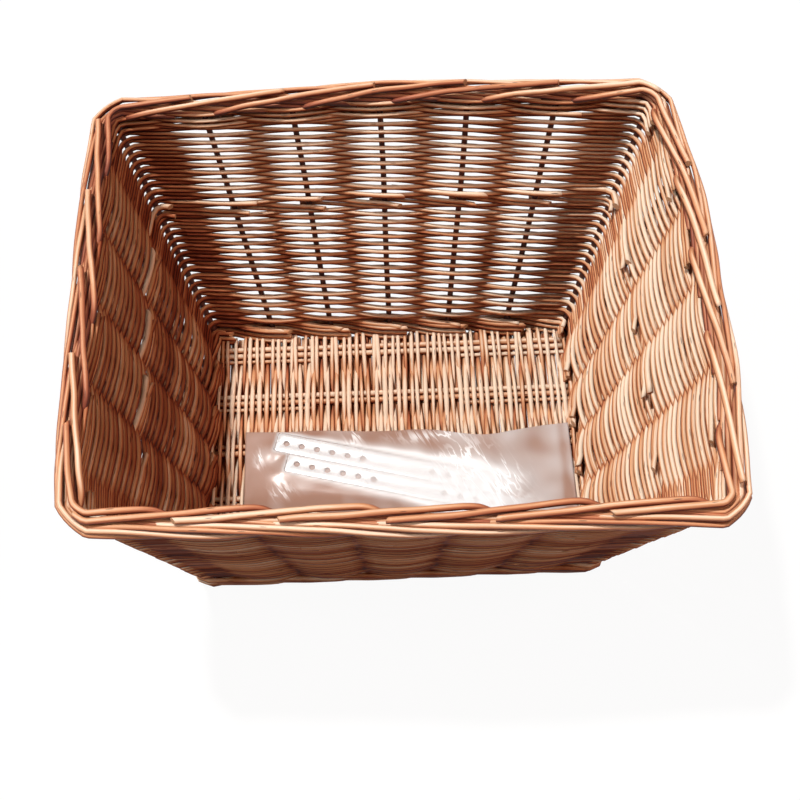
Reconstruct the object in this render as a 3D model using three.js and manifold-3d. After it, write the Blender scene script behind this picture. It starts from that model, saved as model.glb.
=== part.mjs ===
// Rectangular willow bicycle basket with its bag of carrier fittings. Millimetres, +Z up.
// The origin is on the ground under the middle of the basket.
// X runs along the long sides and +Y towards the back wall.
import * as THREE from "three";
import Module from "manifold-3d";
import { mergeVertices } from "three/addons/utils/BufferGeometryUtils.js";

// Basket outline, measured on the line through the uprights. The middle of each side of the rim
// bows outwards and stands higher than the corners.
const rimLength = 440;
const rimDepth = 360;
const rimCornerRadius = 20;
const rimHeight = 252;
const rimBow = 6;
const rimCrown = 7;
const footLength = 318;
const footDepth = 226;
const footCornerRadius = 12;

// Uprights
const longSideStakes = 5;
const shortSideStakes = 4;
const stakeDiameter = 6;
const cornerPostDiameter = 8;
const stakeGroundGap = 2;

// Border: each upright turns down and runs along the rim, over two twisted strands
const borderBend = 0.5;
const borderRun = 2.45;
const borderRunStep = 0.25;
const borderFirstAngle = 205;
const borderStepAngle = 55;
const borderRodGap = 1.2;
const strandDiameter = 7.6;
const strandDropAngle = -20;
const strandStepsPerTurn = 8;

// Woven siding, each course standing for four rows of thin rods
const courseCount = 12;
const sidingThickness = 3.2;
const footWaleHeight = 14;
const footWaleThickness = 5;
const weaveHug = 1.5;
const sidingWaist = 1.8;

// Base
const stickRows = 5;
const stickDiameter = 6;
const stickPairGap = 0.6;
const endRowInset = 6.5;
const baseRibbons = 40;
const baseWeaveThickness = 2.6;
const baseGroundGap = 0.8;
const weaveEndLength = 3;

// Bag of fittings
const filmThickness = 0.5;
const filmSlack = 0.8;
const bagLeftGap = 22.4;
const bagRightGap = 0.5;
const bagFrontGap = 23.8;
const bagSideMargin = 3.2;
const stripLength = 217;
const stripWidth = 17.2;
const stripThickness = 2;
const stripHoleDiameter = 5.4;
const stripHolePitch = 13.75;
const stripHolesPerEnd = 6;
const stripEndMargin = 9;
const stripTilt = -14.3;
const stripStagger = 13.7;
const stripsShift = -4.5;
const boltShankDiameter = 5;
const boltShankLength = 25;
const boltHeadThickness = 3.5;
const hexAcrossFlats = 8;
const nutThickness = 4;
const fastenerSpacing = 2;
const fastenerInset = 4;

// Clearance kept between pieces that touch
const gap = 0.3;

// Facets round the rods
const rodSides = 6;
const stickSides = 8;
const shankSides = 10;
const filmBendSteps = 4;

const UP = new THREE.Vector3(0, 0, 1);
const rad = THREE.MathUtils.degToRad;
const lerp = THREE.MathUtils.lerp;
const wasm = await Module();
wasm.setup();

const willow = [0xb9743f, 0.55, 0];
const paleWillow = [0xd9a066, 0.55, 0];
const film = [0xd9cfca, 0.25, 0];
const zinc = [0xd6dadb, 0.32, 0.9];

const basket = new THREE.Group();
const kit = new THREE.Group();
const part = new THREE.Group();
part.add(basket, kit);

function addPiece(group, name, geometry, [color, roughness, metalness]) {
  const mesh = new THREE.Mesh(geometry, new THREE.MeshStandardMaterial({ color, roughness, metalness }));
  mesh.name = name;
  group.add(mesh);
  return mesh;
}

// Joins rings of points into a closed skin. Each ring runs anticlockwise seen against the travel.
function loft(rings, closed) {
  const sides = rings[0].length;
  const positions = rings.flat().flatMap((p) => [p.x, p.y, p.z]);
  const faces = [];
  const spans = closed ? rings.length : rings.length - 1;
  for (let i = 0; i < spans; i++) {
    const here = i * sides;
    const next = ((i + 1) % rings.length) * sides;
    for (let j = 0; j < sides; j++) {
      const k = (j + 1) % sides;
      faces.push(here + j, here + k, next + k, here + j, next + k, next + j);
    }
  }
  if (!closed) {
    const last = (rings.length - 1) * sides;
    for (let j = 1; j < sides - 1; j++) {
      faces.push(0, j + 1, j, last, last + j, last + j + 1);
    }
  }
  const geometry = new THREE.BufferGeometry();
  geometry.setAttribute("position", new THREE.Float32BufferAttribute(positions, 3));
  geometry.setIndex(faces);
  return geometry;
}

// A round rod through the points. The outward directions keep its facets from twisting.
function rod(points, outwards, radii, sides, closed = false) {
  const count = points.length;
  const rings = points.map((point, i) => {
    const before = closed ? points[(i + count - 1) % count] : points[Math.max(i - 1, 0)];
    const after = closed ? points[(i + 1) % count] : points[Math.min(i + 1, count - 1)];
    const inDirection = point.clone().sub(before).normalize();
    const outDirection = after.clone().sub(point).normalize();
    const travel = inDirection.add(outDirection).normalize();
    const across = outwards[i].clone().addScaledVector(travel, -outwards[i].dot(travel)).normalize();
    const over = travel.clone().cross(across);
    return Array.from({ length: sides }, (_, j) => {
      const angle = (2 * Math.PI * j) / sides;
      return point.clone()
        .addScaledVector(across, radii[i] * Math.cos(angle))
        .addScaledVector(over, radii[i] * Math.sin(angle));
    });
  });
  return loft(rings, closed);
}

function toSolid(geometry) {
  const bare = new THREE.BufferGeometry();
  bare.setAttribute("position", geometry.getAttribute("position").clone());
  if (geometry.index) {
    bare.setIndex(geometry.index.clone());
  }
  const merged = mergeVertices(bare, 1e-4);
  return new wasm.Manifold(new wasm.Mesh({
    numProp: 3,
    vertProperties: new Float32Array(merged.getAttribute("position").array),
    triVerts: new Uint32Array(merged.index.array),
  }));
}

function toGeometry(solid) {
  const mesh = solid.getMesh();
  const geometry = new THREE.BufferGeometry();
  geometry.setAttribute("position", new THREE.Float32BufferAttribute(Array.from(mesh.vertProperties), 3));
  geometry.setIndex(Array.from(mesh.triVerts));
  return geometry;
}

function union(geometries) {
  return toGeometry(geometries.map(toSolid).reduce((whole, piece) => whole.add(piece)));
}

// The basket's outline: a rounded rectangle that grows evenly from the foot to the rim.
// Places on it are counted in uprights, anticlockwise from the front left corner post.
const sidePosts = [longSideStakes + 1, shortSideStakes + 1, longSideStakes + 1, shortSideStakes + 1];
const uprightCount = sidePosts.reduce((sum, posts) => sum + posts, 0);
const sideNames = ["front", "right", "back", "left"];
const cornerNames = ["front_left", "front_right", "back_right", "back_left"];

function outline(z) {
  const share = z / rimHeight;
  return {
    halfLength: lerp(footLength, rimLength, share) / 2,
    halfDepth: lerp(footDepth, rimDepth, share) / 2,
    radius: lerp(footCornerRadius, rimCornerRadius, share),
  };
}

// Finds the side that holds a place, and the place's distance along that side in uprights.
function locate(place) {
  let along = ((place % uprightCount) + uprightCount) % uprightCount;
  let side = 0;
  while (along >= sidePosts[side] && side < 3) {
    along -= sidePosts[side];
    side += 1;
  }
  return { side, along };
}

function sideMeasures(side, z) {
  const { halfLength, halfDepth, radius } = outline(z);
  const half = side % 2 === 0 ? halfLength : halfDepth;
  const reach = side % 2 === 0 ? halfDepth : halfLength;
  const arc = (radius * Math.PI) / 4;
  const straight = 2 * (half - radius);
  const spacing = (straight + 2 * arc) / sidePosts[side];
  return { half, reach, radius, arc, straight, spacing };
}

// The outward direction and the point at a place, a height and a distance outside the outline.
function outwardAt(place, z) {
  const { side, along } = locate(place);
  const { radius, arc, straight, spacing } = sideMeasures(side, z);
  const run = along * spacing;
  let turn = 0;
  if (run < arc) {
    turn = (run - arc) / radius;
  } else if (run > arc + straight) {
    turn = (run - arc - straight) / radius;
  }
  const heading = (side * Math.PI) / 2 + turn;
  return new THREE.Vector3(Math.sin(heading), -Math.cos(heading), 0);
}

function wallPoint(place, z, outside) {
  const { side, along } = locate(place);
  const { half, reach, radius, arc, straight, spacing } = sideMeasures(side, z);
  const run = along * spacing;
  const forward = new THREE.Vector3(Math.cos((side * Math.PI) / 2), Math.sin((side * Math.PI) / 2), 0);
  const sideOut = new THREE.Vector3(forward.y, -forward.x, 0);
  const outward = outwardAt(place, z);
  const position = THREE.MathUtils.clamp(run - arc, 0, straight) - (half - radius);
  const swell = Math.sin((Math.PI * along) / sidePosts[side]) ** 2 * (z / rimHeight);
  return new THREE.Vector3(0, 0, z + rimCrown * swell)
    .addScaledVector(forward, position)
    .addScaledVector(sideOut, reach - radius)
    .addScaledVector(outward, radius + rimBow * swell + outside);
}

function isCorner(place) {
  return locate(place).along === 0;
}

// A leaning upright is thicker when it is cut level.
function levelRadius(place) {
  const foot = wallPoint(place, 0, 0);
  const top = wallPoint(place, rimHeight, 0);
  const diameter = isCorner(place) ? cornerPostDiameter : stakeDiameter;
  return (diameter / 2) * (top.distanceTo(foot) / rimHeight);
}

// Border section, as offsets from the rim line: outwards and upwards
const stakeRadius = stakeDiameter / 2;
const strandRadius = strandDiameter / 2;
const borderRadius = (stakeRadius + borderRodGap / 2) / Math.sin(rad(borderStepAngle / 2));
const borderAngle = (travelled) => borderFirstAngle - borderStepAngle * (travelled - borderBend);
const onBorderCircle = (degrees) => new THREE.Vector2(
  borderRadius * Math.cos(rad(degrees)),
  borderRadius * Math.sin(rad(degrees)),
);
const strandOrbit = (strandRadius + gap / 2) / Math.cos(Math.PI / strandStepsPerTurn);
const strandReach = strandOrbit + strandRadius + stakeRadius + gap;
const strandCentre = placeStrands();
const bendStart = -Math.sqrt(strandReach ** 2 - strandCentre.x ** 2) + strandCentre.y;
const courseTop = rimHeight + bendStart - stakeRadius - gap;

// The strands turn about a line that clears the cut ends lying above them.
function placeStrands() {
  const apart = rad(borderAngle(borderRun) - strandDropAngle);
  const sideways = borderRadius * Math.sin(apart);
  const distance = borderRadius * Math.cos(apart) + Math.sqrt(strandReach ** 2 - sideways ** 2);
  const direction = rad(strandDropAngle);
  return new THREE.Vector2(distance * Math.cos(direction), distance * Math.sin(direction));
}

// The section offset of a border rod after a run counted in upright spacings.
function borderOffset(travelled) {
  if (travelled >= borderBend) {
    return onBorderCircle(borderAngle(travelled));
  }
  const from = new THREE.Vector2(0, bendStart).sub(strandCentre);
  const to = onBorderCircle(borderFirstAngle).sub(strandCentre);
  const share = travelled / borderBend;
  const angle = lerp(from.angle(), to.angle(), share);
  const length = lerp(from.length(), to.length(), share);
  return new THREE.Vector2(Math.cos(angle), Math.sin(angle)).multiplyScalar(length).add(strandCentre);
}

// Shares of the bend at which an upright's rod has a ring
const bendShares = [0.18, 0.4, 0.7];

// An upright: straight and tapering to the rim, then laid along the border to its cut end.
function upright(place) {
  const footRadius = isCorner(place) ? cornerPostDiameter / 2 : stakeRadius;
  const points = [wallPoint(place, stakeGroundGap, 0), wallPoint(place, rimHeight + bendStart, 0)];
  const outwards = [outwardAt(place, 0), outwardAt(place, rimHeight)];
  const radii = [footRadius, stakeRadius];
  const steps = bendShares.map((share) => share * borderBend);
  for (let travelled = borderBend; travelled < borderRun - borderRunStep / 2; travelled += borderRunStep) {
    steps.push(travelled);
  }
  steps.push(borderRun);
  for (const travelled of steps) {
    const offset = borderOffset(travelled);
    const at = place - travelled;
    points.push(wallPoint(at, rimHeight, offset.x).addScaledVector(UP, offset.y));
    outwards.push(outwardAt(at, rimHeight));
    radii.push(stakeRadius);
  }
  return rod(points, outwards, radii, rodSides);
}

function buildUprights() {
  let place = 0;
  for (let side = 0; side < 4; side++) {
    addPiece(basket, `corner_post_${cornerNames[side]}`, upright(place), willow);
    place += 1;
    for (let i = 1; i < sidePosts[side]; i++) {
      addPiece(basket, `${sideNames[side]}_stake_${i}`, upright(place), willow);
      place += 1;
    }
  }
}

// Two strands twisted round each other, one turn for every two uprights.
function borderStrand(which) {
  const cutEnd = onBorderCircle(borderAngle(borderRun)).sub(strandCentre);
  const startAngle = Math.atan2(cutEnd.y, cutEnd.x) + Math.PI * borderRun + Math.PI * which;
  const stepsPerSpacing = strandStepsPerTurn / 2;
  const points = [];
  const outwards = [];
  const radii = [];
  for (let i = 0; i < uprightCount * stepsPerSpacing; i++) {
    const place = i / stepsPerSpacing;
    const angle = startAngle + Math.PI * place;
    const outside = strandCentre.x + strandOrbit * Math.cos(angle);
    const rise = strandCentre.y + strandOrbit * Math.sin(angle);
    points.push(wallPoint(place, rimHeight, outside).addScaledVector(UP, rise));
    outwards.push(outwardAt(place, rimHeight));
    radii.push(strandRadius);
  }
  return rod(points, outwards, radii, rodSides, true);
}

// A band woven in front of one upright and behind the next, closed round the basket. Its waist is
// how much it narrows above and below at an upright, which leaves openings between two bands.
function wovenBand(low, high, thickness, firstSide, waist) {
  const rings = [];
  const middle = (low + high) / 2;
  const reachAt = (place) => {
    const side = (Math.round(place) + firstSide) % 2 === 0 ? 1 : -1;
    return side * (levelRadius(Math.round(place) % uprightCount) + gap + thickness / 2);
  };
  const flatAt = (place, spacing) => (levelRadius(place % uprightCount) + weaveHug) / spacing;
  const addRing = (place, outside) => {
    const inner = outside - thickness / 2;
    const outer = outside + thickness / 2;
    const narrowing = waist * Math.abs(2 * (place % 1) - 1);
    const bottom = low + narrowing;
    const top = high - narrowing;
    rings.push([
      wallPoint(place, bottom, outer),
      wallPoint(place, bottom, inner),
      wallPoint(place, top, inner),
      wallPoint(place, top, outer),
    ]);
  };
  for (let post = 0; post < uprightCount; post++) {
    const { side } = locate(post);
    const { arc, spacing } = sideMeasures(side, middle);
    const flat = flatAt(post, spacing);
    const nextFlat = 1 - flatAt(post + 1, spacing);
    const stops = [flat];
    if (waist > 0) {
      stops.push(0.5);
    }
    if (isCorner(post)) {
      stops.unshift(0);
      stops.splice(2, 0, arc / spacing);
    }
    if (isCorner(post + 1)) {
      stops.push(1 - arc / spacing);
    }
    stops.push(nextFlat);
    for (const stop of stops) {
      const share = THREE.MathUtils.clamp((stop - flat) / (nextFlat - flat), 0, 1);
      addRing(post + stop, lerp(reachAt(post), reachAt(post + 1), share));
    }
  }
  return loft(rings, true);
}

function buildSiding() {
  addPiece(basket, "foot_wale", wovenBand(0, footWaleHeight, footWaleThickness, 0, 0), willow);
  const pitch = (courseTop - footWaleHeight) / courseCount;
  for (let course = 0; course < courseCount; course++) {
    const low = footWaleHeight + course * pitch + gap;
    const high = footWaleHeight + (course + 1) * pitch;
    const name = `siding_course_${String(course + 1).padStart(2, "0")}`;
    addPiece(basket, name, wovenBand(low, high, sidingThickness, course + 1, sidingWaist), willow);
  }
  for (let which = 0; which < 2; which++) {
    addPiece(basket, `border_strand_${which + 1}`, borderStrand(which), willow);
  }
}

// How far the clear floor inside the foot wale reaches along X at a depth, or along Y at a length.
function floorReach(z, across, alongX) {
  const { halfLength, halfDepth, radius } = outline(z);
  const half = alongX ? halfLength : halfDepth;
  const otherHalf = alongX ? halfDepth : halfLength;
  const straight = half - levelRadius(1) - footWaleThickness - 2 * gap;
  const over = Math.abs(across) - (otherHalf - radius);
  if (over <= 0) {
    return straight;
  }
  const innerRadius = radius - levelRadius(0) - footWaleThickness - 2 * gap;
  if (over > innerRadius) {
    return half - radius - cornerPostDiameter;
  }
  return Math.min(straight, half - radius + Math.sqrt(innerRadius ** 2 - over ** 2));
}

// Base heights and rows
const stickRadius = stickDiameter / 2;
const weaveLift = stickRadius + gap + baseWeaveThickness / 2;
const baseMiddle = baseGroundGap + weaveLift + baseWeaveThickness / 2;
const floorTop = baseMiddle + weaveLift + baseWeaveThickness / 2;
const pairOffset = stickRadius + stickPairGap / 2;
const endRow = floorReach(baseMiddle - baseWeaveThickness / 2, 0, false) - endRowInset - pairOffset / 2;
const rowDepth = (row) => lerp(-endRow, endRow, row / (stickRows - 1));

function baseStick(depth) {
  const outer = Math.abs(depth) + stickRadius;
  const reach = floorReach(baseMiddle - stickRadius, outer, true);
  const points = [-1, 1].map((end) => new THREE.Vector3(end * reach, depth, baseMiddle));
  const outward = new THREE.Vector3(0, -1, 0);
  return rod(points, [outward, outward], [stickRadius, stickRadius], stickSides);
}

// One ribbon of the base, over one pair of sticks and under the next.
function baseRibbon(index) {
  const reachX = floorReach(baseGroundGap, 0, true);
  const width = (2 * reachX) / baseRibbons;
  const left = -reachX + index * width;
  const right = left + width + (index < baseRibbons - 1 ? gap : 0);
  const outer = Math.max(Math.abs(left), Math.abs(right));
  const limit = floorReach(baseGroundGap, outer, false);
  const hold = 2 * stickRadius + stickPairGap / 2 + gap;
  const stops = [];
  for (let row = 0; row < stickRows; row++) {
    const rise = (row + index) % 2 === 0 ? weaveLift : -weaveLift;
    stops.push([rowDepth(row) - hold, rise], [rowDepth(row) + hold, rise]);
  }
  const first = stops[0];
  const last = stops[stops.length - 1];
  if (limit - last[0] > weaveEndLength) {
    stops.unshift([-limit, 0]);
    stops.push([limit, 0]);
  } else {
    first[0] = -limit;
    last[0] = limit;
  }
  const rings = stops.map(([depth, rise]) => {
    const bottom = baseMiddle + rise - baseWeaveThickness / 2;
    const top = bottom + baseWeaveThickness;
    return [
      new THREE.Vector3(right, depth, bottom),
      new THREE.Vector3(left, depth, bottom),
      new THREE.Vector3(left, depth, top),
      new THREE.Vector3(right, depth, top),
    ];
  });
  return loft(rings, false);
}

function buildBase() {
  for (let row = 0; row < stickRows; row++) {
    [-1, 1].forEach((pair, i) => {
      const stick = baseStick(rowDepth(row) + pair * pairOffset);
      addPiece(basket, `base_stick_${row + 1}${"ab"[i]}`, stick, paleWillow);
    });
  }
  const ribbons = Array.from({ length: baseRibbons }, (_, index) => baseRibbon(index));
  addPiece(basket, "base_weave", union(ribbons), paleWillow);
}

// The bag lies in the front half, on the base weave and against the right wall.
const bagBottom = floorTop + gap;
const contentBottom = bagBottom + filmThickness + gap;
const bagTop = contentBottom + hexAcrossFlats + gap + filmSlack + filmThickness;
const tilt = rad(stripTilt);
const bagLeft = -floorReach(bagBottom, 0, true) + bagLeftGap;
const bagRight = floorReach(bagBottom, 0, true) - bagRightGap;
const bagFront = -floorReach(bagBottom, 0, false) + bagFrontGap;
const stripsDepth = Math.abs((stripLength + stripStagger) * Math.sin(tilt))
  + (2 * stripWidth + gap) * Math.cos(tilt);
const bagDepth = stripsDepth + 2 * bagSideMargin + 2 * filmThickness;
const stripsMiddle = new THREE.Vector3(
  (bagLeft + bagRight) / 2 + stripsShift,
  bagFront + bagDepth / 2,
  contentBottom,
);

// A flat sleeve of film, open at both ends.
function fittingBag() {
  const section = (inset) => {
    const low = bagBottom + inset;
    const high = bagTop - inset;
    const soft = (high - low) / 2;
    const half = bagDepth / 2 - inset;
    const path = new THREE.Path();
    path.moveTo(-half + soft, low);
    path.lineTo(half - soft, low);
    path.absarc(half - soft, low + soft, soft, -Math.PI / 2, Math.PI / 2, false);
    path.lineTo(-half + soft, high);
    path.absarc(-half + soft, low + soft, soft, Math.PI / 2, (3 * Math.PI) / 2, false);
    return path.getPoints(filmBendSteps);
  };
  const shape = new THREE.Shape(section(0));
  shape.holes.push(new THREE.Path(section(filmThickness)));
  const geometry = new THREE.ExtrudeGeometry(shape, { depth: bagRight - bagLeft, bevelEnabled: false });
  geometry.rotateX(Math.PI / 2);
  geometry.rotateZ(Math.PI / 2);
  return geometry.translate(bagLeft, bagFront + bagDepth / 2, 0);
}

// A flat strip with a row of holes at each end.
function fixingStrip() {
  const half = stripLength / 2;
  const shape = new THREE.Shape([
    new THREE.Vector2(-half, -stripWidth / 2),
    new THREE.Vector2(half, -stripWidth / 2),
    new THREE.Vector2(half, stripWidth / 2),
    new THREE.Vector2(-half, stripWidth / 2),
  ]);
  for (const end of [-1, 1]) {
    for (let i = 0; i < stripHolesPerEnd; i++) {
      const hole = new THREE.Path();
      const middle = end * (half - stripEndMargin - i * stripHolePitch);
      hole.absarc(middle, 0, stripHoleDiameter / 2, 0, 2 * Math.PI, true);
      shape.holes.push(hole);
    }
  }
  return new THREE.ExtrudeGeometry(shape, { depth: stripThickness, bevelEnabled: false, curveSegments: 4 });
}

// Half the width of a hexagon across its corners
const hexCorner = hexAcrossFlats / 2 / Math.cos(Math.PI / 6);

// A hexagon bolt lying along X with a flat of its head underneath.
function fixingBolt() {
  const sink = 1;
  const radius = boltShankDiameter / 2;
  const head = new THREE.CylinderGeometry(hexCorner, hexCorner, boltHeadThickness, 6);
  const shank = new THREE.CylinderGeometry(radius, radius, boltShankLength + sink, shankSides);
  shank.translate(0, (boltHeadThickness + boltShankLength - sink) / 2, 0);
  return union([head, shank]).rotateZ(-Math.PI / 2).rotateX(Math.PI / 6);
}

function fixingNut() {
  const shape = new THREE.Shape();
  for (let i = 0; i < 6; i++) {
    const angle = (i * Math.PI) / 3;
    shape[i === 0 ? "moveTo" : "lineTo"](hexCorner * Math.cos(angle), hexCorner * Math.sin(angle));
  }
  shape.closePath();
  const hole = new THREE.Path();
  hole.absarc(0, 0, boltShankDiameter / 2 + gap, 0, 2 * Math.PI, true);
  shape.holes.push(hole);
  return new THREE.ExtrudeGeometry(shape, { depth: nutThickness, bevelEnabled: false, curveSegments: 5 });
}

// Two strips side by side across the bag, and a row of bolts and nuts in its front left part.
function buildKit() {
  addPiece(kit, "fitting_bag", fittingBag(), film);
  const strips = new THREE.Group();
  strips.position.copy(stripsMiddle);
  strips.rotation.z = tilt;
  kit.add(strips);
  for (let i = 0; i < 2; i++) {
    const strip = addPiece(strips, `fixing_strip_${i + 1}`, fixingStrip(), zinc);
    strip.position.set((i - 0.5) * stripStagger, (0.5 - i) * (stripWidth + gap), 0);
  }
  const bagBend = (bagTop - bagBottom) / 2;
  const row = bagFront + bagBend + hexCorner / 2 + gap;
  const boltPitch = boltHeadThickness + boltShankLength + fastenerSpacing;
  const nutPitch = 2 * hexCorner + fastenerSpacing;
  const firstBolt = bagLeft + fastenerInset + boltHeadThickness / 2;
  const firstNut = bagLeft + fastenerInset + 4 * boltPitch + hexCorner;
  for (let i = 0; i < 4; i++) {
    const bolt = addPiece(kit, `fixing_bolt_${i + 1}`, fixingBolt(), zinc);
    bolt.position.set(firstBolt + i * boltPitch, row, contentBottom + hexAcrossFlats / 2);
    const nut = addPiece(kit, `fixing_nut_${i + 1}`, fixingNut(), zinc);
    nut.position.set(firstNut + i * nutPitch, row, contentBottom);
  }
}

buildUprights();
buildSiding();
buildBase();
buildKit();

export default part;
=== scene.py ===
"""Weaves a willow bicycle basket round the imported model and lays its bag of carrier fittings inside."""

import math
import random
from dataclasses import dataclass

import bpy
import numpy as np
from mathutils import Matrix, Vector, noise


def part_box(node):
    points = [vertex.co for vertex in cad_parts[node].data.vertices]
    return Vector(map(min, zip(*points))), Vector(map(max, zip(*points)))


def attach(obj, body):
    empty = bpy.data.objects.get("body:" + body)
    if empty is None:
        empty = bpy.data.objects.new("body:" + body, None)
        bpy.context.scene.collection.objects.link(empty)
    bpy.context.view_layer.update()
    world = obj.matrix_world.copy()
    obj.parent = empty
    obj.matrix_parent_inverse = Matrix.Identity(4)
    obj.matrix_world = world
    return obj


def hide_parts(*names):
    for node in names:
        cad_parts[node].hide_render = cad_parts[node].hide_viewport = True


bl_info = {
    "name": "Willow bicycle basket",
    "version": (1, 0, 0),
    "blender": (4, 5, 0),
    "location": "3D View > Sidebar > Basket",
    "description": "Weaves a tapered willow basket and lays a bag of carrier fittings in it",
    "category": "Add Mesh",
}

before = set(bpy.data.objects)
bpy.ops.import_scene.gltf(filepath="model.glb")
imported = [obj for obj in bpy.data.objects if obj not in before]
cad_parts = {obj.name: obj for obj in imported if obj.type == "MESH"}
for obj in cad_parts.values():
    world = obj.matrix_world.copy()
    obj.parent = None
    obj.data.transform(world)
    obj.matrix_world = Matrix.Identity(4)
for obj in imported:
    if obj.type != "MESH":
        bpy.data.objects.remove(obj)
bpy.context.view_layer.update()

# noise_vector starts from the clock unless it is given a seed, and the rods' wander comes from it
WANDER_SEED = 7
noise.seed_set(WANDER_SEED)

MM = 0.001
UP = Vector((0, 0, 1))
SIDES = ("front", "right", "back", "left")
CORNERS = ("front_left", "front_right", "back_right", "back_left")
# Where the random draws of each group of rods start
UPRIGHT_SEED = 11
BORDER_SEED = 12
LOWER_SIDING_SEED = 21
UPPER_SIDING_SEED = 22
WALE_SEED = 31
BASE_SEED = 41


def size(name, description, default):
    """A length that a user may set."""
    return bpy.props.FloatProperty(
        name=name, description=description, default=default, unit="LENGTH", subtype="DISTANCE", precision=4
    )


def number(name, description, default):
    """A number of rods that a user may set."""
    return bpy.props.IntProperty(name=name, description=description, default=default, min=1)


def colour(name, description, default):
    """A colour that a user may set."""
    return bpy.props.FloatVectorProperty(
        name=name, description=description, default=default, size=3, min=0, max=1, subtype="COLOR"
    )


class BasketShape(bpy.types.PropertyGroup):
    rim_length: size("Rim length", "Between the uprights' lines at the rim, along X", 440 * MM)
    rim_depth: size("Rim depth", "Between the uprights' lines at the rim, along Y", 360 * MM)
    rim_corner: size("Rim corner", "Corner radius at the rim", 9 * MM)
    rim_height: size("Rim height", "Middle of the border above the ground", 252 * MM)
    rim_bow: size("Rim bow", "How far the middle of a side bows out at the rim", 6 * MM)
    rim_crown: size("Rim crown", "How far the middle of a side stands above its corners", 7 * MM)
    foot_length: size("Foot length", "Between the uprights' lines at the ground, along X", 318 * MM)
    foot_depth: size("Foot depth", "Between the uprights' lines at the ground, along Y", 226 * MM)
    foot_corner: size("Foot corner", "Corner radius at the ground", 7 * MM)
    long_stakes: number("Long side stakes", "Uprights between two corner posts, front and back", 5)
    short_stakes: number("Short side stakes", "Uprights between two corner posts, left and right", 4)


class WillowRods(bpy.types.PropertyGroup):
    stake: size("Stake", "Diameter of an upright at the foot", 5.0 * MM)
    post: size("Corner post", "Diameter of a corner post at the foot", 6.0 * MM)
    upright_top: size("Upright top", "Diameter of an upright in the border", 4.8 * MM)
    siding_butt: size("Siding butt", "Diameter of a siding rod where it starts", 4.8 * MM)
    siding_tip: size("Siding tip", "Diameter of a siding rod where it ends", 3.8 * MM)
    foot_wale: size("Foot wale rod", "Diameter of the rods round the foot", 4.4 * MM)
    rim_wale: size("Rim wale rod", "Diameter of the rods under the border", 3.5 * MM)
    border: size("Border rod", "Diameter of the border's outer rods", 3.9 * MM)
    base_weaver: size("Base rod", "Diameter of the thin rods of the base", 3.8 * MM)
    base_stick: size("Base stick", "Diameter of the sticks of the base", 5.8 * MM)


class FittingSizes(bpy.types.PropertyGroup):
    film: size("Film", "Thickness of the bag's film", 0.1 * MM)
    strip_length: size("Strip length", "Length of a fixing strip", 217 * MM)
    strip_width: size("Strip width", "Width of a fixing strip", 17.2 * MM)
    strip_thickness: size("Strip thickness", "Thickness of a fixing strip", 2 * MM)
    hole: size("Hole", "Diameter of a strip's holes", 5.4 * MM)
    hole_pitch: size("Hole pitch", "Between the middles of two holes", 13.75 * MM)
    end_margin: size("End margin", "From a strip's end to its first hole", 9 * MM)


class BasketColours(bpy.types.PropertyGroup):
    shade: colour("Shade", "Darkest streaks of the willow", (0.05, 0.009, 0.006))
    bark: colour("Bark", "Darker rods of the willow", (0.24, 0.048, 0.022))
    buff: colour("Buff", "Middle tone of the willow", (0.50, 0.165, 0.074))
    pale: colour("Pale", "Lighter rods of the willow", (0.74, 0.382, 0.196))
    cream: colour("Cream", "Lightest streaks of the willow", (0.96, 0.77, 0.59))
    pith: colour("Pith", "Cut ends of the rods", (0.64, 0.35, 0.19))
    film: colour("Film", "Tint of the milky bag", (0.47, 0.28, 0.21))
    # The clear film colour is the white of painted glare round the strips and of painted highlights on the
    # creases
    clear: colour("Clear film", "Where the film lies on the strips or is creased", (0.96, 0.97, 0.98))
    zinc: colour("Zinc", "The strips' plating", (0.90, 0.91, 0.92))
    floor: colour("Floor", "Floor in the light of the lamps", (0.36, 0.36, 0.36))


def shape():
    return bpy.context.scene.basket_shape


def rods():
    return bpy.context.scene.basket_rods


def fittings():
    return bpy.context.scene.basket_fittings


def colours():
    return bpy.context.scene.basket_colours


def lerp(a, b, share):
    return a + (b - a) * share


def clamp(value, low=0.0, high=1.0):
    return min(max(value, low), high)


def shares(steps):
    """The shares of the way from 0 to 1 that even steps reach."""
    return [i / steps for i in range(steps + 1)]


def fading(distance, width):
    """1 at no distance, and smoothly less away from there."""
    return math.exp(-((distance / width) ** 2))


def flow(knots, at):
    """A smooth value at a place, through knots of (place, value, value...)."""
    last = len(knots) - 1
    i = 0
    while i < last - 1 and at > knots[i + 1][0]:
        i += 1
    low, high = knots[i], knots[i + 1]
    span = high[0] - low[0]
    share = clamp((at - low[0]) / span)
    before, after = knots[max(i - 1, 0)], knots[min(i + 2, last)]
    squared, cubed = share * share, share ** 3
    values = []
    for k in range(1, len(low)):
        slope = (high[k] - before[k]) / (high[0] - before[0]) * span
        slope_after = (after[k] - low[k]) / (after[0] - low[0]) * span
        values.append(
            low[k] * (2 * cubed - 3 * squared + 1)
            + slope * (cubed - 2 * squared + share)
            + high[k] * (3 * squared - 2 * cubed)
            + slope_after * (cubed - squared)
        )
    return values


def leans(*corners):
    return tuple(Vector(lean) * MM for lean in corners)


# How far each corner lies off its place: front left, front right, back right, back left
RIM_LEAN = leans((0.9, 3.3, 0), (0.5, -4.0, 0), (-5.1, 0.0, 0), (-2.2, 2.4, 0))
FOOT_LEAN = leans((-1.0, -5.0, 0), (0.0, -1.0, 0), (0.0, 2.0, 0), (0.0, 2.0, 0))
# How far the rods stray from their line at the rim, and how often per metre
WANDER = 1.4 * MM
WANDER_DETAIL = 9.0
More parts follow.
